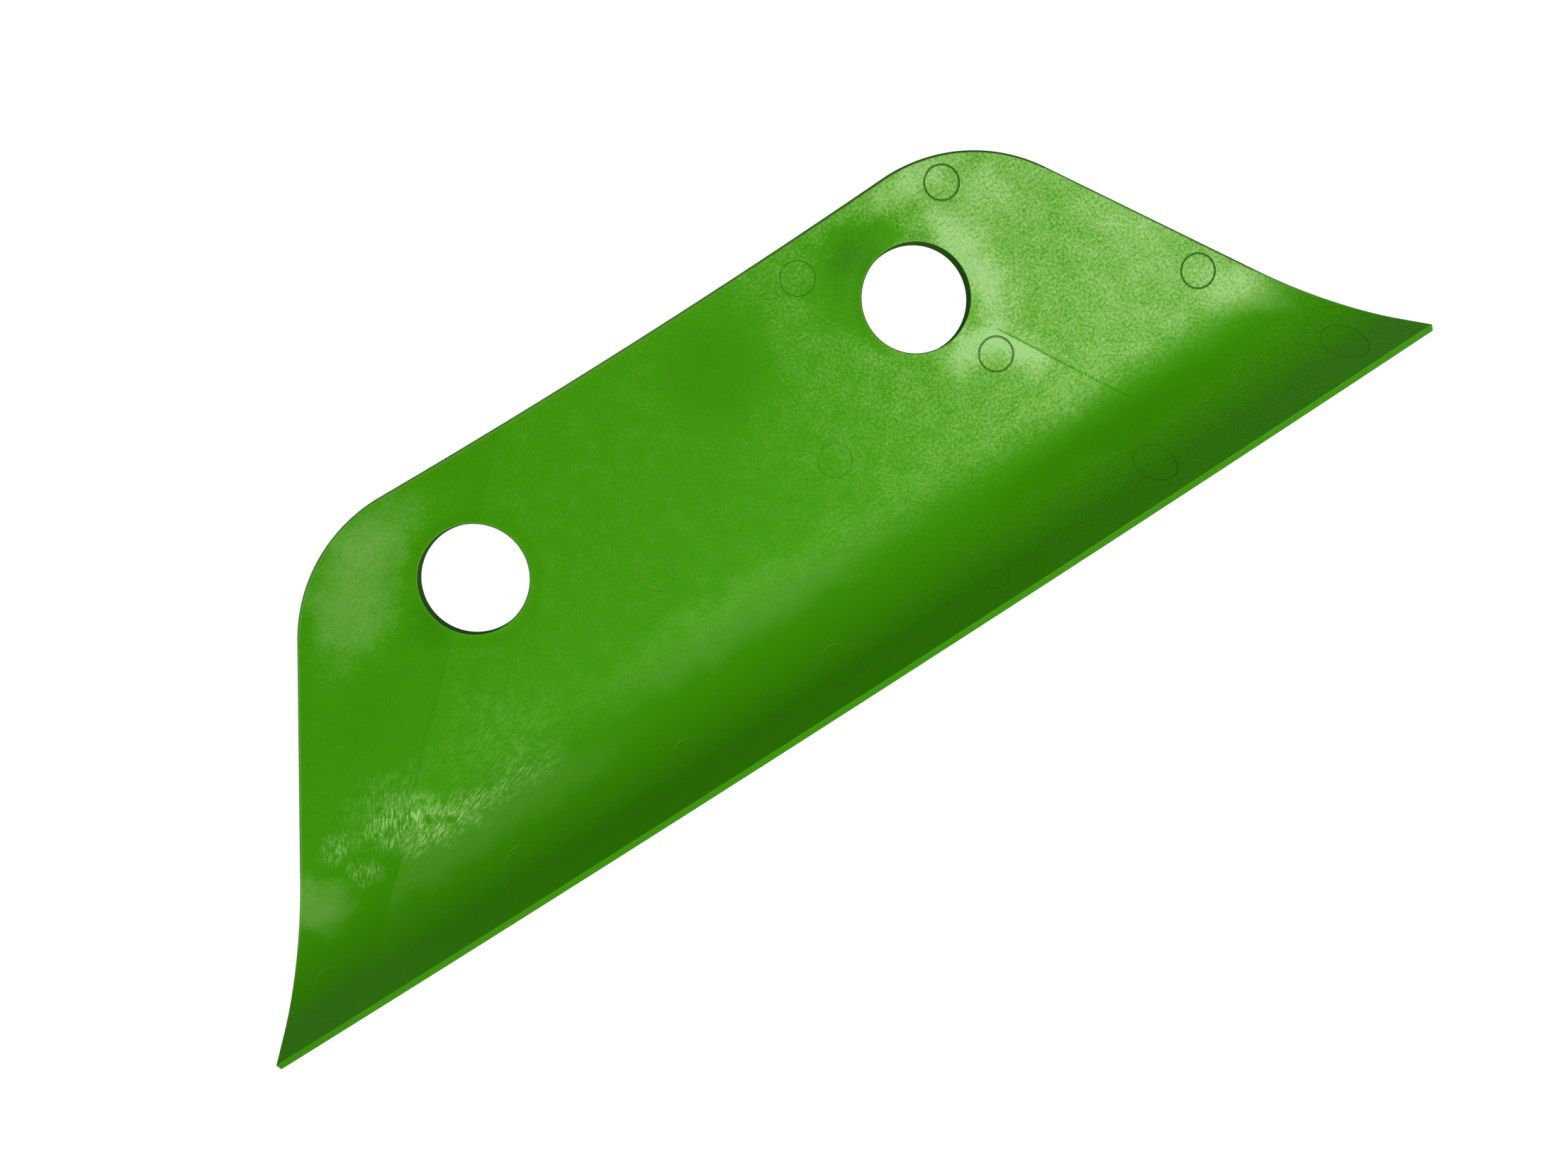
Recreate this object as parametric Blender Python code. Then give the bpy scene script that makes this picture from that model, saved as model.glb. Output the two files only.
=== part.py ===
"""Leaf scoop plate: one injection-moulded plate with a curled working edge and two collared hand holes.

Metres, +Z up, X along the working edge, +Y towards the hand edge.  The plate is drawn level, with its
hollow face at z = 0 and the hole centres on y = 0, and is then laid down the way it really rests:
leaning on the two collars behind the holes and on the back of the bend.
"""
from math import acos, asin, atan2, cos, hypot, pi, sin, sqrt

import bmesh
import bpy
from mathutils import Vector

# Driving dimensions
WALL = 0.0025  # thickness of the plate
EDGE_LENGTH = 0.3746  # working edge, end to end
SHOULDER_WIDTH = 0.225  # between the two sides, level with the middle of the hand edge
PLATE_DEPTH = 0.115  # middle of the hand edge to middle of the working edge, seen from above
SHOULDER_RADIUS = 0.048  # corner between the hand edge and a side
HAND_EDGE_HOLLOW = 0.0026  # how far the middle of the hand edge sits in from its ends
WORKING_EDGE_BOW = 0.001  # how far the middle of the working edge stands out from its ends
HOLE_RADIUS = 0.0156
HOLE_SPACING = 0.149
HOLE_INSET = 0.032  # middle of the hand edge to the line of hole centres
COLLAR_WALL = 0.003  # ring of plastic around each hole, on the back
COLLAR_HEIGHT = 0.0035  # how far that ring stands out from the back face
LIP_RADIUS = 0.038  # bend of the hollow face
LIP_ANGLE = 57 * pi / 180  # slope at the end of the bend
LIP_STRAIGHT = 0.009  # straight run from the bend to the working edge

# Smoothness of the round shapes
HOLE_SEGMENTS = 48
SHOULDER_SEGMENTS = 16
HAND_EDGE_SEGMENTS = 12
WORKING_EDGE_SEGMENTS = 16
BEND_STEPS = 14

# Colour of the green plastic
GREEN = (0.055, 0.30, 0.006, 1.0)
ROUGHNESS = 0.42

# Lines that follow from the sizes, seen from above
HAND_Y = HOLE_INSET
EDGE_Y = HAND_Y - PLATE_DEPTH
CORNER_Y = EDGE_Y + WORKING_EDGE_BOW
BEND_Y = CORNER_Y + LIP_RADIUS * sin(LIP_ANGLE) + LIP_STRAIGHT * cos(LIP_ANGLE)
COLLAR_RADIUS = HOLE_RADIUS + COLLAR_WALL
BACK_Z = -WALL
COLLAR_Z = BACK_Z - COLLAR_HEIGHT


def arc(centre, radius, start, end, segments):
    """Points on a circle from one angle to another, both ends included."""
    steps = [start + (end - start) * i / segments for i in range(segments + 1)]
    return [(centre[0] + radius * cos(a), centre[1] + radius * sin(a)) for a in steps]


def outline():
    """The plate seen from above, anticlockwise, starting at the right end of the working edge."""
    half_hand = SHOULDER_WIDTH / 2
    half_edge = EDGE_LENGTH / 2
    # The hand edge is a shallow arc whose centre lies beyond the plate.
    bow_radius = (half_hand**2 + HAND_EDGE_HOLLOW**2) / (2 * HAND_EDGE_HOLLOW)
    bow_y = HAND_Y + bow_radius
    # The shoulder circle touches the side line from inside and the hand arc from outside.
    side = Vector((half_hand - half_edge, HAND_Y - CORNER_Y)).normalized()
    inward = Vector((-side.y, side.x))
    start = Vector((half_edge, CORNER_Y)) + inward * SHOULDER_RADIUS
    to_bow = start - Vector((0, bow_y))
    along = to_bow.dot(side)
    reach = (bow_radius + SHOULDER_RADIUS) ** 2 - to_bow.length_squared + along**2
    shoulder = start + side * (-along - sqrt(reach))
    side_angle = atan2(-inward.y, -inward.x)
    hand_angle = atan2(bow_y - shoulder.y, -shoulder.x)
    right = [(half_edge, CORNER_Y)]
    right += arc(shoulder, SHOULDER_RADIUS, side_angle, hand_angle, SHOULDER_SEGMENTS)
    first = atan2(shoulder.y - bow_y, shoulder.x)
    bow = arc((0, bow_y), bow_radius, first, -pi - first, HAND_EDGE_SEGMENTS)
    left = [(-x, y) for x, y in reversed(right)]
    # The working edge is a flatter arc whose centre lies beyond the hand edge.
    edge_radius = (half_edge**2 + WORKING_EDGE_BOW**2) / (2 * WORKING_EDGE_BOW)
    last = atan2(CORNER_Y - EDGE_Y - edge_radius, half_edge)
    edge = arc((0, EDGE_Y + edge_radius), edge_radius, -pi - last, last, WORKING_EDGE_SEGMENTS)
    return [*right, *bow[1:-1], *left, *edge[1:-1]]


def bend(flat):
    """Carry a point of the flat slab to its place on the curled lip, keeping its depth in the wall."""
    run = BEND_Y - flat.y
    if run <= 0:
        return flat
    arc_run = LIP_RADIUS * sin(LIP_ANGLE)
    slope = asin(min(run, arc_run) / LIP_RADIUS)
    rise = LIP_RADIUS * (1 - cos(slope)) + max(run - arc_run, 0) * sin(slope) / cos(slope)
    return Vector((flat.x, flat.y + flat.z * sin(slope), rise + flat.z * cos(slope)))


def plate_mesh():
    """The wall of the plate: the outline drawn out to its thickness, scored along the lip and curled."""
    bm = bmesh.new()
    back = bm.faces.new([bm.verts.new((x, y, BACK_Z)) for x, y in outline()])
    back.normal_flip()
    front = bmesh.ops.extrude_face_region(bm, geom=[back], use_keep_orig=True)
    raised = [item for item in front["geom"] if isinstance(item, bmesh.types.BMVert)]
    bmesh.ops.translate(bm, verts=raised, vec=(0, 0, WALL))
    # One line across the slab for each step of the bend, and one where the straight run starts.
    for step in range(BEND_STEPS + 1):
        line_y = BEND_Y - LIP_RADIUS * sin(LIP_ANGLE * step / BEND_STEPS)
        everything = [*bm.verts, *bm.edges, *bm.faces]
        bmesh.ops.bisect_plane(bm, geom=everything, dist=1e-7, plane_co=(0, line_y, 0), plane_no=(0, 1, 0))
    for vert in bm.verts:
        vert.co = bend(vert.co)
    bmesh.ops.recalc_face_normals(bm, faces=bm.faces)
    mesh = bpy.data.meshes.new("scoop_plate")
    bm.to_mesh(mesh)
    bm.free()
    return mesh


def drum(name, x, radius, low, high):
    """An upright cylinder on the line of the holes, used to add a collar or to cut a hole."""
    bm = bmesh.new()
    bmesh.ops.create_cone(
        bm, cap_ends=True, segments=HOLE_SEGMENTS, radius1=radius, radius2=radius, depth=high - low
    )
    bmesh.ops.translate(bm, verts=bm.verts, vec=(x, 0, (low + high) / 2))
    mesh = bpy.data.meshes.new(name)
    bm.to_mesh(mesh)
    bm.free()
    guide = bpy.data.objects.new(name, mesh)
    bpy.context.collection.objects.link(guide)
    guide.hide_render = True
    guide.display_type = "WIRE"
    return guide


def combine(plate, guide, operation):
    """Join a guide to the plate, or cut it out, and keep it in place on the plate."""
    guide.parent = plate
    step = plate.modifiers.new(guide.name, "BOOLEAN")
    step.operation = operation
    step.solver = "EXACT"
    step.object = guide


def green_plastic():
    """Semi-gloss moulded green."""
    material = bpy.data.materials.new("green_plastic")
    material.use_nodes = True
    shader = material.node_tree.nodes["Principled BSDF"]
    shader.inputs["Base Color"].default_value = GREEN
    shader.inputs["Roughness"].default_value = ROUGHNESS
    shader.inputs["Metallic"].default_value = 0.0
    return material


def rest_angle():
    """How far the plate leans when it lies on the near edge of its collars and the back of its bend."""
    collar_to_bend = Vector((BEND_Y + COLLAR_RADIUS, LIP_RADIUS - COLLAR_Z))
    back_radius = LIP_RADIUS + WALL
    reach = hypot(*collar_to_bend)
    return acos(back_radius / reach) - atan2(-collar_to_bend.x, collar_to_bend.y)


for item in list(bpy.data.objects):
    bpy.data.objects.remove(item)

plate = bpy.data.objects.new("scoop_plate", plate_mesh())
bpy.context.collection.objects.link(plate)
plate.data.materials.append(green_plastic())

for side, x in (("left", -HOLE_SPACING / 2), ("right", HOLE_SPACING / 2)):
    combine(plate, drum(f"{side}_collar_shape", x, COLLAR_RADIUS, COLLAR_Z, BACK_Z + WALL / 2), "UNION")
    combine(plate, drum(f"{side}_hole_shape", x, HOLE_RADIUS, COLLAR_Z - WALL, WALL), "DIFFERENCE")

# Lean the plate to its resting angle, centre it and set its lowest point on z = 0.
lean = rest_angle()
plate.rotation_euler.x = lean
leaning_y = [vert.co.y * cos(lean) - vert.co.z * sin(lean) for vert in plate.data.vertices]
plate.location.y = -(min(leaning_y) + max(leaning_y)) / 2
plate.location.z = COLLAR_RADIUS * sin(lean) - COLLAR_Z * cos(lean)
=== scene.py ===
"""A green moulded leaf scoop plate, lying hollow side up on a pale floor under soft studio light."""
from math import acos, asin, atan2, cos, hypot, radians, sin, sqrt

import bpy
from mathutils import Matrix, Vector


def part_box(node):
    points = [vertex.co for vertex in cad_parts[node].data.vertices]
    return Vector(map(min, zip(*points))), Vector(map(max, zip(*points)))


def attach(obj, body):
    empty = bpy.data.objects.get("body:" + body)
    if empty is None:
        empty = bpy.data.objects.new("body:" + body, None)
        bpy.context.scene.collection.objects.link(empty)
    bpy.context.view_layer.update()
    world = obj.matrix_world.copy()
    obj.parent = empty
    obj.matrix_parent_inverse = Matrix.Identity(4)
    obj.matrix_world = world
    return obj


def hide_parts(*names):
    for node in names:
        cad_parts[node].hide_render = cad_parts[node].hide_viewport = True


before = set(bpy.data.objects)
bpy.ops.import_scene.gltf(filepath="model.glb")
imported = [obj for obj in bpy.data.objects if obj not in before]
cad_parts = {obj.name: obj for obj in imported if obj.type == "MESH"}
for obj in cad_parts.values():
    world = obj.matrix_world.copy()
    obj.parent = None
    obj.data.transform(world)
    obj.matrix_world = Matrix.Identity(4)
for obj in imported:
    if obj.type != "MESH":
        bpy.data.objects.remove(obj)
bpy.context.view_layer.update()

# ---------------------------------------------------------------------------------------------------
# Blank of the scoop.  The real one is a single shot of polypropylene in a two-plate mould that opens
# straight up, so its outline is a plain flat shape seen from above.  It is drawn level, hollow face at
# z = 0 and hole centres on y = 0, from the right end of the working edge round to the left end.
# ---------------------------------------------------------------------------------------------------
WALL = 0.0025
EDGE_LENGTH = 0.3746
SHOULDER_WIDTH = 0.225
SHOULDER_RADIUS = 0.048
HAND_EDGE_HOLLOW = 0.0026
WORKING_EDGE_BOW = 0.001
HAND_Y = 0.032
CORNER_Y = -0.082
SHOULDER_STEPS = 40
HAND_EDGE_STEPS = 36
WORKING_EDGE_STEPS = 48
HAND_RIM = 0.0011
HAND_RIM_STEPS = 5
WORK_RIM = 0.00022
WORK_RIM_STEPS = 2
TOUCH = 1e-6

half_hand = SHOULDER_WIDTH / 2
half_edge = EDGE_LENGTH / 2
bow_radius = (half_hand**2 + HAND_EDGE_HOLLOW**2) / (2 * HAND_EDGE_HOLLOW)
bow_centre = Vector((0, HAND_Y + bow_radius))
side_way = Vector((half_hand - half_edge, HAND_Y - CORNER_Y)).normalized()
inward = Vector((-side_way.y, side_way.x))
edge_corner = Vector((half_edge, CORNER_Y))
offset_start = edge_corner + inward * SHOULDER_RADIUS
to_bow = offset_start - bow_centre
back_along = to_bow.dot(side_way)
reach_squared = (bow_radius + SHOULDER_RADIUS) ** 2 - to_bow.length_squared + back_along**2
shoulder_centre = offset_start + side_way * (-back_along - sqrt(reach_squared))
shoulder_start = shoulder_centre - inward * SHOULDER_RADIUS
shoulder_turn = atan2(bow_centre.y - shoulder_centre.y, -shoulder_centre.x) - atan2(-inward.y, -inward.x)
bow_turn = 2 * atan2(shoulder_centre.x, bow_centre.y - shoulder_centre.y)
edge_radius = (half_edge**2 + WORKING_EDGE_BOW**2) / (2 * WORKING_EDGE_BOW)
edge_centre = Vector((0, CORNER_Y - WORKING_EDGE_BOW + edge_radius))

# A small plane merged to one point starts the outline, and the point is drawn out and spun round.
run_up = shoulder_start - edge_corner
right_pivot = (shoulder_centre.x, shoulder_centre.y, 0)
left_pivot = (-shoulder_centre.x, shoulder_centre.y, 0)

bpy.ops.object.select_all(action="DESELECT")
bpy.ops.mesh.primitive_plane_add(size=0.01, location=(0, 0, 0))
scoop = bpy.context.object
scoop.name = "scoop_moulding"
bpy.ops.object.mode_set(mode="EDIT")
bpy.ops.mesh.select_mode(type="VERT")
bpy.ops.mesh.select_all(action="SELECT")
bpy.ops.mesh.merge(type="CENTER")
bpy.ops.transform.translate(value=(edge_corner.x, edge_corner.y, -WALL))
bpy.ops.mesh.extrude_region_move(TRANSFORM_OT_translate={"value": (run_up.x, run_up.y, 0)})
bpy.ops.mesh.spin(steps=SHOULDER_STEPS, angle=-shoulder_turn, center=right_pivot, axis=(0, 0, 1))
bpy.ops.mesh.spin(steps=HAND_EDGE_STEPS, angle=bow_turn, center=(0, bow_centre.y, 0), axis=(0, 0, 1))
bpy.ops.mesh.spin(steps=SHOULDER_STEPS, angle=-shoulder_turn, center=left_pivot, axis=(0, 0, 1))
bpy.ops.mesh.extrude_region_move(TRANSFORM_OT_translate={"value": (run_up.x, -run_up.y, 0)})
bpy.ops.mesh.select_all(action="SELECT")
bpy.ops.mesh.edge_face_add()


def select_edges(piece, wanted):
    """Select the edges of a piece, in edit mode, whose pair of ends passes a test of their places."""
    bpy.ops.object.mode_set(mode="OBJECT")
    mesh = piece.data
    for item in (*mesh.vertices, *mesh.edges, *mesh.polygons):
        item.select = False
    for edge in mesh.edges:
        edge.select = wanted([mesh.vertices[i].co for i in edge.vertices])
    bpy.ops.object.mode_set(mode="EDIT")
    bpy.ops.mesh.select_mode(type="EDGE")


# The working edge is drawn straight, cut into short lengths and bowed out a millimetre.
select_edges(scoop, lambda ends: all(end.y < CORNER_Y + TOUCH for end in ends))
bpy.ops.mesh.subdivide(number_cuts=WORKING_EDGE_STEPS - 1)
bpy.ops.object.mode_set(mode="OBJECT")
for vert in scoop.data.vertices:
    if vert.co.y < CORNER_Y + TOUCH:
        vert.co.y = edge_centre.y - sqrt(edge_radius**2 - vert.co.x**2)
bpy.ops.object.mode_set(mode="EDIT")
bpy.ops.mesh.select_all(action="SELECT")
bpy.ops.mesh.extrude_region_move(TRANSFORM_OT_translate={"value": (0, 0, WALL)})
bpy.ops.mesh.select_all(action="SELECT")
bpy.ops.mesh.normals_make_consistent(inside=False)


def on_level(points, level):
    """Whether points all lie at one height."""
    return all(abs(point.z - level) < TOUCH for point in points)


def on_working_edge(points):
    """Whether points all lie on the curved outline of the working edge."""
    return all(
        abs(hypot(point.x, point.y - edge_centre.y) - edge_radius) < 2 * WORK_RIM
        and point.y < CORNER_Y + WORK_RIM
        for point in points
    )


# The rims that a hand meets are rounded, and the working edge keeps only the mould's small break.
for level in (0, -WALL):
    select_edges(scoop, lambda ends: on_level(ends, level) and on_working_edge(ends))
    bpy.ops.mesh.bevel(offset=WORK_RIM, segments=WORK_RIM_STEPS, affect="EDGES")
for level in (0, -WALL):
    select_edges(scoop, lambda ends: on_level(ends, level) and not on_working_edge(ends))
    bpy.ops.mesh.bevel(offset=HAND_RIM, segments=HAND_RIM_STEPS, affect="EDGES")
bpy.ops.object.mode_set(mode="OBJECT")

# ---------------------------------------------------------------------------------------------------
# Collared hand holes.  Each hole is a plain round opening for a gloved thumb or a hook, and a low ring
# moulded on the back stiffens it.  The rings are joined to the wall, then the holes go through both.
# ---------------------------------------------------------------------------------------------------
HOLE_RADIUS = 0.0156
HOLE_SPACING = 0.149
COLLAR_WALL = 0.003
COLLAR_HEIGHT = 0.0035
HOLE_RIM = 0.00045
COLLAR_RIM = 0.0006
COLLAR_FOOT = 0.0008
RING_RIM_STEPS = 4
HOLE_SIDES = 112
ON_RING = 2e-5
COLLAR_BOTTOM = -WALL - COLLAR_HEIGHT
collar_radius = HOLE_RADIUS + COLLAR_WALL
hole_places = (-HOLE_SPACING / 2, HOLE_SPACING / 2)


def round_tool(x, y, low, high, low_radius, high_radius, sides):
    """A round tool that stands on the plate's plan, and may be wider or narrower at its top."""
    middle = (x, y, (low + high) / 2)
    bpy.ops.object.select_all(action="DESELECT")
    bpy.ops.mesh.primitive_cone_add(
        vertices=sides, radius1=low_radius, radius2=high_radius, depth=high - low, location=middle
    )
    bpy.ops.object.transform_apply(location=True, rotation=False, scale=False)
    return bpy.context.object


def use_tools(piece, tools, operation):
    """Join tools to a piece, or cut them out of it, and put the tools away."""
    bpy.ops.object.select_all(action="DESELECT")
    for tool in tools:
        tool.select_set(True)
    bpy.context.view_layer.objects.active = tools[0]
    if len(tools) > 1:
        bpy.ops.object.join()
    bpy.ops.object.select_all(action="DESELECT")
    piece.select_set(True)
    bpy.context.view_layer.objects.active = piece
    step = piece.modifiers.new("tool", "BOOLEAN")
    step.operation = operation
    step.solver = "EXACT"
    step.object = tools[0]
    bpy.ops.object.modifier_apply(modifier=step.name)
    bpy.data.objects.remove(tools[0])


def on_ring(points, x, radius, level):
    """Whether points all lie at one height on a circle about a hole."""
    return all(
        abs(hypot(point.x - x, point.y) - radius) < ON_RING and abs(point.z - level) < ON_RING
        for point in points
    )


collars = [
    round_tool(x, 0, COLLAR_BOTTOM, -WALL / 2, collar_radius, collar_radius, HOLE_SIDES) for x in hole_places
]
use_tools(scoop, collars, "UNION")
bores = [
    round_tool(x, 0, COLLAR_BOTTOM - WALL, WALL, HOLE_RADIUS, HOLE_RADIUS, HOLE_SIDES) for x in hole_places
]
use_tools(scoop, bores, "DIFFERENCE")
bpy.ops.object.mode_set(mode="EDIT")
for ring_radius, ring_z, ring_rim in (
    (HOLE_RADIUS, 0, HOLE_RIM),
    (HOLE_RADIUS, COLLAR_BOTTOM, HOLE_RIM),
    (collar_radius, COLLAR_BOTTOM, COLLAR_RIM),
    (collar_radius, -WALL, COLLAR_FOOT),
):
    select_edges(scoop, lambda ends: any(on_ring(ends, x, ring_radius, ring_z) for x in hole_places))
    bpy.ops.mesh.bevel(offset=ring_rim, segments=RING_RIM_STEPS, affect="EDGES")
bpy.ops.object.mode_set(mode="OBJECT")

# ---------------------------------------------------------------------------------------------------
# Ejector-pin marks.  Eighteen 10 mm pins pushed the moulding out of the hollow half of the mould, and
# each left a round land a little below the skin inside a narrow furrow, where plastic crept round it.
# ---------------------------------------------------------------------------------------------------
PIN_RADIUS = 0.005
PIN_SIDES = 64
LAND_DEPTH = 0.00005
FURROW_DEPTH = 0.0003
FURROW_FLOOR = 0.00008
FURROW_WALL = 0.00026
PIN_ROWS = (
    ((0, 0.0219), (0.0485, 0.0225), (0.0977, 0.0236)),
    ((0.0303, -0.0266), (0.0858, -0.0257)),
    ((0.1485, -0.0368),),
    ((0, -0.0746), (0.0493, -0.0746), (0.105, -0.0746), (0.1687, -0.0746)),
)
FULLY_WORN_X = 0.085
LEAST_WEAR = 0.35
LIP_ROW_Y = -0.07
LIP_WEAR = 0.22

pin_places = sorted({(way * x, y) for row in PIN_ROWS for x, y in row for way in (-1, 1)})
pins = []
for x, y in pin_places:
    # The pins at the right-hand end were the most worn, so their furrows are widest and deepest.
    wear = LIP_WEAR if y < LIP_ROW_Y else max(LEAST_WEAR, min(1, x / FULLY_WORN_X))
    furrow_floor = FURROW_FLOOR * wear
    furrow_wall = FURROW_WALL * wear
    furrow_depth = LAND_DEPTH + (FURROW_DEPTH - LAND_DEPTH) * wear
    low_radius = PIN_RADIUS + furrow_floor / 2
    pin = round_tool(x, y, -furrow_depth, furrow_depth, low_radius, low_radius + 2 * furrow_wall, PIN_SIDES)
    end_face = min(pin.data.polygons, key=lambda face: face.center.z)
    for face in pin.data.polygons:
        face.select = face == end_face
    bpy.ops.object.mode_set(mode="EDIT")
    bpy.ops.mesh.select_mode(type="FACE")
    bpy.ops.mesh.inset(thickness=furrow_floor)
    bpy.ops.mesh.inset(thickness=furrow_wall)
    bpy.ops.transform.translate(value=(0, 0, furrow_depth - LAND_DEPTH))
    bpy.ops.object.mode_set(mode="OBJECT")
    pins.append(pin)
use_tools(scoop, pins, "DIFFERENCE")

# ---------------------------------------------------------------------------------------------------
# Curl of the lip.  The wall turns up towards the working edge in one even bend and ends in a short
# straight run.  Lines are scored across the flat blank first, and then every point is lifted straight
# up on to the curl, so that the outline and the pin marks keep their place as seen from above.
# ---------------------------------------------------------------------------------------------------
LIP_RADIUS = 0.038
LIP_ANGLE = radians(57)
LIP_STRAIGHT = 0.009
BEND_LINES = 60
SMOOTH_BELOW = radians(35)

bend_run = LIP_RADIUS * sin(LIP_ANGLE)
bend_y = CORNER_Y + bend_run + LIP_STRAIGHT * cos(LIP_ANGLE)
bpy.ops.object.mode_set(mode="EDIT")
for line in range(BEND_LINES + 1):
    line_y = bend_y - LIP_RADIUS * sin(LIP_ANGLE * line / BEND_LINES)
    bpy.ops.mesh.select_all(action="SELECT")
    bpy.ops.mesh.bisect(plane_co=(0, line_y, 0), plane_no=(0, 1, 0), threshold=TOUCH)
bpy.ops.object.mode_set(mode="OBJECT")

# How steep each facet is on the flat blank tells the rims and furrows from the skin, for painted shade and
# highlight.  The working edge is left out, so that it shows the same green as the skin.
steepness = scoop.data.attributes.new("steepness", "FLOAT", "FACE")
for face in scoop.data.polygons:
    if face.center.y > CORNER_Y + WORK_RIM:
        steepness.data[face.index].value = 1 - abs(face.normal.z)
for vert in scoop.data.vertices:
    run = bend_y - vert.co.y
    if run > 0:
        slope = asin(min(run, bend_run) / LIP_RADIUS)
        rise = LIP_RADIUS * (1 - cos(slope)) + max(run - bend_run, 0) * sin(slope) / cos(slope)
        depth = vert.co.z
        vert.co = (vert.co.x, vert.co.y + depth * sin(slope), rise + depth * cos(slope))

# It lies on the near edge of its collars and on the back of the bend, which leans it a few degrees.
to_bend = Vector((bend_y + collar_radius, LIP_RADIUS - COLLAR_BOTTOM))
lean = acos((LIP_RADIUS + WALL) / to_bend.length) - atan2(-to_bend.x, to_bend.y)
leaning_y = [vert.co.y * cos(lean) - vert.co.z * sin(lean) for vert in scoop.data.vertices]
cad_low, cad_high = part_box("scoop_plate")
slide_y = (cad_low.y + cad_high.y - min(leaning_y) - max(leaning_y)) / 2
lift_z = collar_radius * sin(lean) - COLLAR_BOTTOM * cos(lean)
scoop.matrix_world = Matrix.Translation((0, slide_y, lift_z)) @ Matrix.Rotation(lean, 4, "X")
bpy.ops.object.transform_apply(location=True, rotation=True, scale=True)
bpy.ops.object.shade_smooth_by_angle(angle=SMOOTH_BELOW)
weight = scoop.modifiers.new("weight", "WEIGHTED_NORMAL")
weight.keep_sharp = True
weight.weight = 100
bpy.ops.object.modifier_apply(modifier=weight.name)

# ---------------------------------------------------------------------------------------------------
# Green polypropylene.  Semi-gloss as moulded: flow ripple and fine crazing catch the light, and the
# fronts that met behind each hole left a knit line.  Sheen and shade are painted into its colour:
# painted sheen where the softboxes reflect in it, painted shade where they don't, and painted shade
# and highlight on its rims and in its holes.  Its patterns are set out in millimetres on the level plan
# that the blank was drawn on.
# ---------------------------------------------------------------------------------------------------
GREEN = (0.041, 0.255, 0.001, 1)
# The deepest green mostly carries painted shade.
DEEP_AND_SHADED_GREEN = (0.018, 0.15, 0.0006, 1)
# The next two greens carry painted sheen.
SOFT_SHEEN_GREEN = (0.18, 0.405, 0.074, 1)
MILKY_SHEEN_GREEN = (0.34, 0.59, 0.22, 1)
# Painted glints on the crazing.
CRAZE_GLINT_GREEN = (0.36, 0.62, 0.18, 1)
# Painted shade for rims, furrows and hole walls, and a painted highlight where the skin turns over a rim.
RIM_SHADE_GREEN = (0.02, 0.1, 0.003, 1)
RIM_HIGHLIGHT_GREEN = (0.2, 0.46, 0.08, 1)
GLOSS_TINT = (0.35, 1, 0.1, 1)
GLOSS = 0.4
SKIN_ROUGHNESS = 0.39
MILLIMETRE = 0.001

green = bpy.data.materials.new("green_polypropylene")
green.use_nodes = True
skin = green.node_tree.nodes["Principled BSDF"]
skin.inputs["Specular Tint"].default_value = GLOSS_TINT
skin.inputs["Specular IOR Level"].default_value = GLOSS


def add_node(tree, kind, inputs, **options):
    """Add a shader node, set its options, and set or link its inputs by name or number."""
    made = tree.nodes.new("ShaderNode" + kind)
    for option, value in options.items():
        setattr(made, option, value)
    for name, value in inputs.items():
        if isinstance(value, bpy.types.NodeSocket):
            tree.links.new(value, made.inputs[name])
        else:
            made.inputs[name].default_value = value
    return made


def work_out(tree, operation, *values):
    """One step of arithmetic on values or sockets."""
    return add_node(tree, "Math", dict(enumerate(values)), operation=operation).outputs["Value"]


def combine(tree, operation, *vectors, result="Vector"):
    """One step of arithmetic on vectors or sockets."""
    return add_node(tree, "VectorMath", dict(enumerate(vectors)), operation=operation).outputs[result]


def fade(tree, value, start, end):
    """A mask that is 0 where a value is at the start of a range and rises smoothly to 1 at its end."""
    inputs = {"Value": value, "From Min": start, "From Max": end}
    return add_node(tree, "MapRange", inputs, interpolation_type="SMOOTHSTEP").outputs["Result"]


def cloud(tree, places, scale, detail, rough, result="Fac"):
    """Soft noise at places, with this many cells to a millimetre."""
    inputs = {"Vector": places, "Scale": scale, "Detail": detail, "Roughness": rough}
    return add_node(tree, "TexNoise", inputs).outputs[result]


def blend(tree, amount, under, over):
    """One colour laid over another by a mask."""
    return add_node(tree, "Mix", {0: amount, 6: under, 7: over}, data_type="RGBA").outputs[2]


def new_group(name, inputs, outputs):
    """A node group with its two ends placed; inputs and outputs are (name, kind) pairs."""
    group = bpy.data.node_groups.new(name, "ShaderNodeTree")
    for socket_name, kind in inputs:
        group.interface.new_socket(name=socket_name, in_out="INPUT", socket_type="NodeSocket" + kind)
    for socket_name, kind in outputs:
        group.interface.new_socket(name=socket_name, in_out="OUTPUT", socket_type="NodeSocket" + kind)
    return group, group.nodes.new("NodeGroupInput").outputs, group.nodes.new("NodeGroupOutput").inputs


def use_group(tree, group, inputs):
    """Place a node group in a tree and give back its outputs."""
    return add_node(tree, "Group", inputs, node_tree=group).outputs


# A soft-edged oval of skin: full in its middle and gone at its reach.
OVAL_CORE = 0.15

oval, given, result = new_group(
    "skin_patch",
    [("Plan", "Vector"), ("Place", "Vector"), ("Reach", "Vector"), ("Turn", "Vector")],
    [("Mask", "Float")],
)
own = add_node(
    oval,
    "Mapping",
    {"Vector": given["Plan"], "Location": given["Place"], "Rotation": given["Turn"], "Scale": given["Reach"]},
    vector_type="TEXTURE",
)
away = combine(oval, "LENGTH", own.outputs["Vector"], result="Value")
oval.links.new(fade(oval, away, 1, OVAL_CORE), result["Mask"])

# Fine marks drawn out along one direction, like brushed or feathered skin.
MARK_EDGE = 0.16

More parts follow.
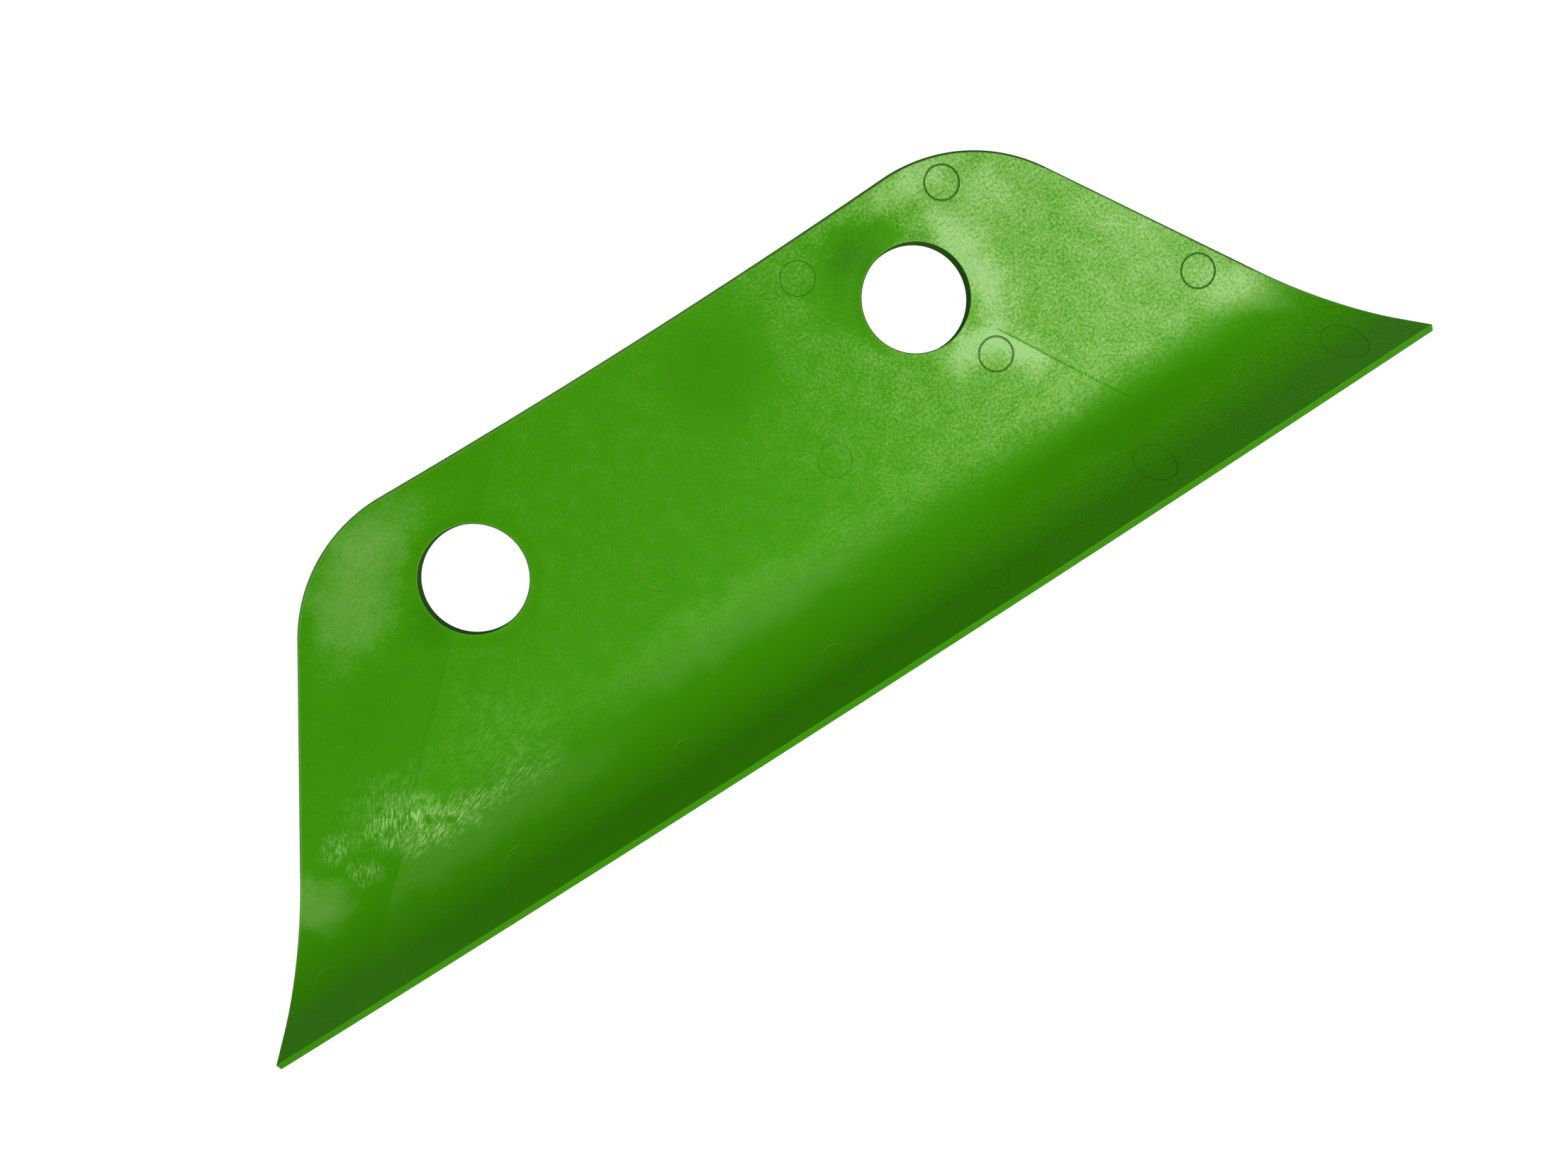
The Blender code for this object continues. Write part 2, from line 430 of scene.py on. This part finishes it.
feather, given, result = new_group(
    "feathered_skin",
    [("Plan", "Vector"), ("Turn", "Vector"), ("Grain", "Vector"), ("Sparse", "Float")],
    [("Mask", "Float")],
)
along = add_node(
    feather,
    "Mapping",
    {"Vector": given["Plan"], "Rotation": given["Turn"], "Scale": given["Grain"]},
    vector_type="TEXTURE",
)
fibre = add_node(
    feather,
    "TexNoise",
    {"Vector": along.outputs["Vector"], "Scale": 1, "Detail": 4, "Roughness": 0.72, "Distortion": 0.6},
)
crest = work_out(feather, "ADD", given["Sparse"], MARK_EDGE)
feather.links.new(fade(feather, fibre.outputs["Fac"], given["Sparse"], crest), result["Mask"])

# How far a point of the skin is from a straight knit line, and on which side of it.
knit, given, result = new_group(
    "knit_line",
    [("Plan", "Vector"), ("Start", "Vector"), ("Finish", "Vector")],
    [("Distance", "Float"), ("Side", "Float")],
)
run_on = combine(knit, "SUBTRACT", given["Finish"], given["Start"])
reach_to = combine(knit, "SUBTRACT", given["Plan"], given["Start"])
covered = combine(knit, "DOT_PRODUCT", reach_to, run_on, result="Value")
whole = combine(knit, "DOT_PRODUCT", run_on, run_on, result="Value")
share = add_node(knit, "Clamp", {"Value": work_out(knit, "DIVIDE", covered, whole)}).outputs["Result"]
nearest = add_node(knit, "VectorMath", {0: run_on, "Scale": share}, operation="SCALE").outputs["Vector"]
across = add_node(knit, "SeparateXYZ", {"Vector": combine(knit, "CROSS_PRODUCT", run_on, reach_to)})
knit.links.new(combine(knit, "DISTANCE", reach_to, nearest, result="Value"), result["Distance"])
knit.links.new(work_out(knit, "SIGN", across.outputs["Z"]), result["Side"])

# Places on the level blank, in millimetres: solid ones, ones on its plan, and ones that drift about,
# which give the patches wandering outlines.
DRIFT = 13

tree = green.node_tree
where = add_node(tree, "TexCoord", {}).outputs["Object"]
solid = add_node(
    tree,
    "Mapping",
    {
        "Vector": where,
        "Location": (0, slide_y, lift_z),
        "Rotation": (lean, 0, 0),
        "Scale": (MILLIMETRE, MILLIMETRE, MILLIMETRE),
    },
    vector_type="TEXTURE",
).outputs["Vector"]
plan = combine(tree, "MULTIPLY", solid, (1, 1, 0))
sway = combine(tree, "SUBTRACT", cloud(tree, plan, 0.09, 4, 0.62, result="Color"), (0.5, 0.5, 0.5))
drift = combine(tree, "ADD", plan, combine(tree, "MULTIPLY", sway, (DRIFT, DRIFT, 0)))
plan_places = add_node(tree, "SeparateXYZ", {"Vector": plan}).outputs

# Knit lines: hair-fine furrows where two fronts of plastic met behind each hole.  The left ones hardly
# show as lines, but the skin beyond them is smoother and darker.
KNIT_LINES = (
    ((84, -14, 0), (90, -20, 0), 0.2),
    ((90, -20, 0), (104, -43, 0), 0.7),
    ((104, -43, 0), (112.5, -57, 0), 0.4),
    ((-90, -12, 0), (-112, -31, 0), 0.12),
    ((-112, -31, 0), (-140, -60, 0), 0.12),
)
KNIT_REACH = 0.5
KNIT_CORE = 0.12

furrow = 0
for start, finish, depth in KNIT_LINES:
    seam = use_group(tree, knit, {"Plan": plan, "Start": start, "Finish": finish})
    cut = work_out(tree, "MULTIPLY", fade(tree, seam["Distance"], KNIT_REACH, KNIT_CORE), depth)
    furrow = work_out(tree, "MAXIMUM", furrow, cut)


def right_hand_side(start, finish):
    """1 to the right of the line that runs on from a start to a finish, and 0 to its left."""
    side = use_group(tree, knit, {"Plan": plan, "Start": start, "Finish": finish})["Side"]
    return fade(tree, side, 0.5, -0.5)


smooth_side = right_hand_side((-88, -10, 0), (-140, -60, 0))
near_side = right_hand_side((88, -17, 0), (112.5, -57, 0))

# Patches of painted sheen (above 0) and painted shade (below 0): place, reach, turn in degrees, and amount.
SHEEN_AND_SHADE_PATCHES = (
    ((93, 4), (11, 22), 0, 0.65),
    ((94, -12), (11, 12), 0, 0.4),
    ((90, 29), (18, 9), 0, 0.4),
    ((108, 15), (15, 11), -30, 0.25),
    ((82, -21), (15, 10), 0, 0.7),
    ((92, -30), (9, 16), 25, 0.25),
    ((156, -47), (20, 10), -50, 0.35),
    ((138, -14), (18, 11), -50, 0.15),
    ((-105, 13), (36, 21), 45, 0.33),
    ((-84, 25), (28, 14), 0, 0.18),
    ((-163, -54), (18, 12), -35, 0.32),
    ((-112, -61), (70, 9), 0, 0.08),
    ((-10, -49), (80, 13), 0, 0.11),
    ((69, 22), (16, 10), 0, -0.8),
    ((60, 12), (16, 22), 0, -0.55),
    ((16, 13), (21, 24), -20, -0.3),
    ((114, -4), (20, 16), 40, -0.05),
    ((-93, -4), (6, 12), 0, -0.25),
    ((-118, -12), (28, 12), 35, -0.06),
    ((105, -61), (60, 7), 0, -0.22),
)
GLARE = 0.5
SMOOTH_SIDE_TONE = -0.11


def patch_mask(place, reach, turn):
    """A soft patch of skin with a wandering outline."""
    own = {"Plan": drift, "Place": (*place, 0), "Reach": (*reach, 1), "Turn": (0, 0, radians(turn))}
    return use_group(tree, oval, own)["Mask"]


sheen_shade_tone = 0
for place, reach, turn, amount in SHEEN_AND_SHADE_PATCHES:
    sheen_shade_tone = work_out(tree, "MULTIPLY_ADD", patch_mask(place, reach, turn), amount, sheen_shade_tone)

# One patch of painted sheen stops short at the right-hand knit line.
glare = use_group(tree, oval, {"Plan": plan, "Place": (94, -28, 0), "Reach": (8, 14, 1), "Turn": (0, 0, 0.5)})
glare = work_out(tree, "MULTIPLY", glare["Mask"], near_side)
sheen_shade_tone = work_out(tree, "MULTIPLY_ADD", glare, GLARE, sheen_shade_tone)
sheen_shade_tone = work_out(tree, "MULTIPLY_ADD", smooth_side, SMOOTH_SIDE_TONE, sheen_shade_tone)

# The flat web carries a painted sheen that grows towards the right, and the curled lip has none.
LIP_TO_WEB = (-56, -44)
SHEEN_RUN = (5, 150)
SHEEN_AMOUNT = 0.48

web = fade(tree, plan_places["Y"], *LIP_TO_WEB)
painted_sheen = work_out(tree, "MULTIPLY", fade(tree, plan_places["X"], *SHEEN_RUN), web)
sheen_shade_tone = work_out(tree, "MULTIPLY_ADD", painted_sheen, SHEEN_AMOUNT, sheen_shade_tone)

# Crazing: a fine mottle all over and broad ripples from the flow, both painted stronger towards the right,
# where painted sheen picks them out.
RIGHTWARD_RUN = (-15, 110)
LEAST_MOTTLE = 0.4
MOTTLE_SHEEN_GAIN = 2.6
LEAST_RIPPLE = 0.25
RIPPLE_SHEEN_GAIN = 0.6

rightward = fade(tree, plan_places["X"], *RIGHTWARD_RUN)
mottle = work_out(tree, "SUBTRACT", cloud(tree, solid, 1.2, 4, 0.75), 0.5)
mottling = work_out(tree, "MULTIPLY_ADD", rightward, MOTTLE_SHEEN_GAIN, LEAST_MOTTLE)
mottling = work_out(tree, "MULTIPLY", mottling, work_out(tree, "MULTIPLY_ADD", web, 0.8, 0.2))
mottling = work_out(tree, "MULTIPLY", mottling, work_out(tree, "MULTIPLY_ADD", smooth_side, 0.5, 1))
sheen_shade_tone = work_out(tree, "MULTIPLY_ADD", mottle, mottling, sheen_shade_tone)
ripple = cloud(tree, plan, 0.16, 5, 0.65)
rippling = work_out(tree, "MULTIPLY_ADD", rightward, RIPPLE_SHEEN_GAIN, LEAST_RIPPLE)
rippling = work_out(tree, "MULTIPLY", rippling, web)
sheen_shade_tone = work_out(tree, "MULTIPLY_ADD", work_out(tree, "SUBTRACT", ripple, 0.5), rippling, sheen_shade_tone)

# Crazed skin with painted glints: patches of feathered marks, painted pale where they catch the light, on the
# left above the bend, and fainter ones elsewhere.
# Each has its place, reach and turn, the way that its marks lie in degrees, and its amount.
CRAZED_PATCHES = (
    ((-130, -46), (17, 9), -8, 54, 0.85),
    ((-123, -48), (10, 6), -20, 35, 0.3),
    ((-123, -54), (17, 7), 6, 24, 0.85),
    ((-108, -55), (14, 6), 0, 22, 0.62),
    ((-149, -44), (8, 6), 0, 50, 0.5),
    ((-147, -54), (7, 6), 0, 50, 0.55),
    ((-92, -54), (16, 7), 0, 22, 0.35),
    ((-130, -37), (20, 8), 0, 50, 0.22),
    ((-92, -42), (30, 20), 0, 20, 0.14),
    ((98, -46), (16, 10), 0, 35, 0.45),
    ((66, -36), (34, 18), 0, 15, 0.05),
    ((104, 4), (18, 28), 0, -55, 0.25),
    ((130, -30), (28, 24), 0, -50, 0.16),
    ((84, 28), (12, 6), 0, 40, 0.3),
)
GRAIN = (3, 0.5, 1)
SPARSE = 0.45
ISLANDS = (0.36, 0.52)

crazing_and_glints = 0
for place, reach, turn, lie, amount in CRAZED_PATCHES:
    marks = {"Plan": plan, "Turn": (0, 0, radians(lie)), "Grain": GRAIN, "Sparse": SPARSE}
    marks = use_group(tree, feather, marks)["Mask"]
    marks = work_out(tree, "MULTIPLY", patch_mask(place, reach, turn), marks)
    crazing_and_glints = work_out(tree, "MULTIPLY_ADD", marks, amount, crazing_and_glints)
islands = fade(tree, cloud(tree, plan, 0.2, 4, 0.7), *ISLANDS)
crazing_and_glints = work_out(tree, "MULTIPLY", crazing_and_glints, islands)

# A sink ring follows each hole, where the collar behind it drew the skin in as it cooled, and painted shade
# darkens the dip.
SINK_SHADE = -0.08
FURROW_TONE = -0.9

fold = combine(tree, "ABSOLUTE", plan)
hole_place = (HOLE_SPACING / 2 / MILLIMETRE, 0, 0)
from_hole = combine(tree, "DISTANCE", fold, hole_place, result="Value")
from_rim = work_out(tree, "SUBTRACT", from_hole, HOLE_RADIUS / MILLIMETRE)
sink = work_out(tree, "MULTIPLY", fade(tree, from_rim, 0.4, 2), fade(tree, from_rim, 4.6, 2.4))
sheen_shade_tone = work_out(tree, "MULTIPLY_ADD", sink, SINK_SHADE, sheen_shade_tone)
sheen_shade_tone = work_out(tree, "MULTIPLY_ADD", furrow, FURROW_TONE, sheen_shade_tone)

# Tone -1 is the deepest green, mostly painted shade, 0 the plain one and 1 the milkiest, mostly painted
# sheen.
shading = add_node(tree, "ValToRGB", {"Fac": work_out(tree, "MULTIPLY_ADD", sheen_shade_tone, 0.5, 0.5)})
shades = shading.color_ramp.elements
shades[0].color = DEEP_AND_SHADED_GREEN
shades[1].color = MILKY_SHEEN_GREEN
shades.new(0.5).color = GREEN
shades.new(0.75).color = SOFT_SHEEN_GREEN
# The crazed marks are painted pale, as painted glints.
colour = blend(tree, crazing_and_glints, shading.outputs["Color"], CRAZE_GLINT_GREEN)

# The skin has a painted highlight where it starts to turn over a rim.  The rounding itself and the furrows
# get painted shade, least so on the left, and so do the walls of the holes, but the upright faces of the
# outline are plain.
HIGHLIGHT_TURN = (0.004, 0.015)
HIGHLIGHT_AMOUNT = 0.3
SHADE_TURN = (0.03, 0.1)
UPRIGHT_TO_ROUND = (0.97, 0.85)
HOLE_WALL_REACH = (1, 0.3)
LEAST_SHADE = 0.15
SHADE_GAIN = 0.85

steep = add_node(tree, "Attribute", {}, attribute_name="steepness").outputs["Fac"]
rim_highlight = work_out(tree, "MULTIPLY", fade(tree, steep, *HIGHLIGHT_TURN), HIGHLIGHT_AMOUNT)
colour = blend(tree, rim_highlight, colour, RIM_HIGHLIGHT_GREEN)
rounding_shade = work_out(tree, "MULTIPLY_ADD", rightward, SHADE_GAIN, LEAST_SHADE)
rounding_shade = work_out(tree, "MULTIPLY", fade(tree, steep, *UPRIGHT_TO_ROUND), rounding_shade)
hole_wall_shade = fade(tree, from_rim, *HOLE_WALL_REACH)
rim_shade = work_out(tree, "MAXIMUM", rounding_shade, hole_wall_shade)
rim_shade = work_out(tree, "MULTIPLY", fade(tree, steep, *SHADE_TURN), rim_shade)
tree.links.new(blend(tree, rim_shade, colour, RIM_SHADE_GREEN), skin.inputs["Base Color"])

# How much the painted sheen and shade, the crazing and the painted rim shade dull the skin, and how high
# each pattern stands in millimetres.
roughness = SKIN_ROUGHNESS
for mask, amount in ((sheen_shade_tone, 0.12), (crazing_and_glints, 0.12), (rim_shade, 0.4)):
    roughness = work_out(tree, "MULTIPLY_ADD", mask, amount, roughness)
tree.links.new(roughness, skin.inputs["Roughness"])
height = 0
for mask, amount in ((ripple, 0.05), (mottle, 0.02), (crazing_and_glints, 0.02), (sink, -0.03), (furrow, -0.03)):
    height = work_out(tree, "MULTIPLY_ADD", mask, amount, height)
relief = add_node(tree, "Bump", {"Height": height, "Strength": 1, "Distance": MILLIMETRE})
tree.links.new(relief.outputs["Normal"], skin.inputs["Normal"])

scoop.data.materials.clear()
scoop.data.materials.append(green)
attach(scoop, "root")
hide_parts("scoop_plate")

# ---------------------------------------------------------------------------------------------------
# Studio: a pale floor, a broad softbox in front, smaller ones to the right and left, and pale air.  The
# floor and the air look almost white to the camera, but throw only a little light on the scoop.
# ---------------------------------------------------------------------------------------------------
FLOOR_SIZE = 6
FLOOR_GREY = (0.35, 0.35, 0.35, 1)
FLOOR_ROUGHNESS = 0.9
FLOOR_GLOW = 0.88
AIR_LIGHT = 0.15
WHITE = (1, 1, 1, 1)

bpy.ops.object.select_all(action="DESELECT")
bpy.ops.mesh.primitive_plane_add(size=FLOOR_SIZE, location=(0, 0, 0))
floor = bpy.context.object
floor.name = "studio_floor"
studio_white = bpy.data.materials.new("studio_white")
studio_white.use_nodes = True
floor_tree = studio_white.node_tree
matt = floor_tree.nodes["Principled BSDF"]
matt.inputs["Base Color"].default_value = FLOOR_GREY
matt.inputs["Roughness"].default_value = FLOOR_ROUGHNESS
matt.inputs["Emission Color"].default_value = WHITE
seen = add_node(floor_tree, "LightPath", {}).outputs["Is Camera Ray"]
floor_tree.links.new(work_out(floor_tree, "MULTIPLY", seen, FLOOR_GLOW), matt.inputs["Emission Strength"])
floor.data.materials.append(studio_white)

world = bpy.data.worlds.new("pale_air")
bpy.context.scene.world = world
world.use_nodes = True
air_tree = world.node_tree
air = air_tree.nodes["Background"]
air.inputs["Color"].default_value = WHITE
seen = add_node(air_tree, "LightPath", {}).outputs["Is Camera Ray"]
brightness = add_node(air_tree, "MapRange", {"Value": seen, "To Min": AIR_LIGHT, "To Max": 1})
air_tree.links.new(brightness.outputs["Result"], air.inputs["Strength"])


def soft_light(name, place, width, height, power):
    """A rectangular soft light that faces the middle of the scoop."""
    lamp = bpy.data.lights.new(name, "AREA")
    lamp.shape = "RECTANGLE"
    lamp.size = width
    lamp.size_y = height
    lamp.energy = power
    holder = bpy.data.objects.new(name, lamp)
    bpy.context.scene.collection.objects.link(holder)
    holder.location = place
    holder.rotation_euler = (-Vector(place)).to_track_quat("-Z", "Y").to_euler()


soft_light("key_softbox", (0.5, -0.1, 1.1), 0.7, 0.5, 4.6)
soft_light("front_softbox", (0.05, -0.75, 1.15), 1.0, 0.5, 12.6)
soft_light("left_fill", (-1.2, 0.1, 0.8), 0.8, 0.6, 4.5)

bpy.context.scene.view_settings.view_transform = "Standard"

# ---------------------------------------------------------------------------------------------------
# Camera: straight above the scoop, turned so that the working edge runs up to the right.
# ---------------------------------------------------------------------------------------------------
CAMERA_PLACE = (-0.00875, -0.02575, 0.39379)
CAMERA_TURN = (radians(0.97), radians(-0.6), radians(-32.59))
SENSOR_WIDTH = 36
LENS = 31.2

camera_data = bpy.data.cameras.new("camera")
camera_data.sensor_width = SENSOR_WIDTH
camera_data.lens = LENS
camera = bpy.data.objects.new("camera", camera_data)
bpy.context.scene.collection.objects.link(camera)
bpy.context.scene.camera = camera
camera.location = CAMERA_PLACE
camera.rotation_euler = CAMERA_TURN
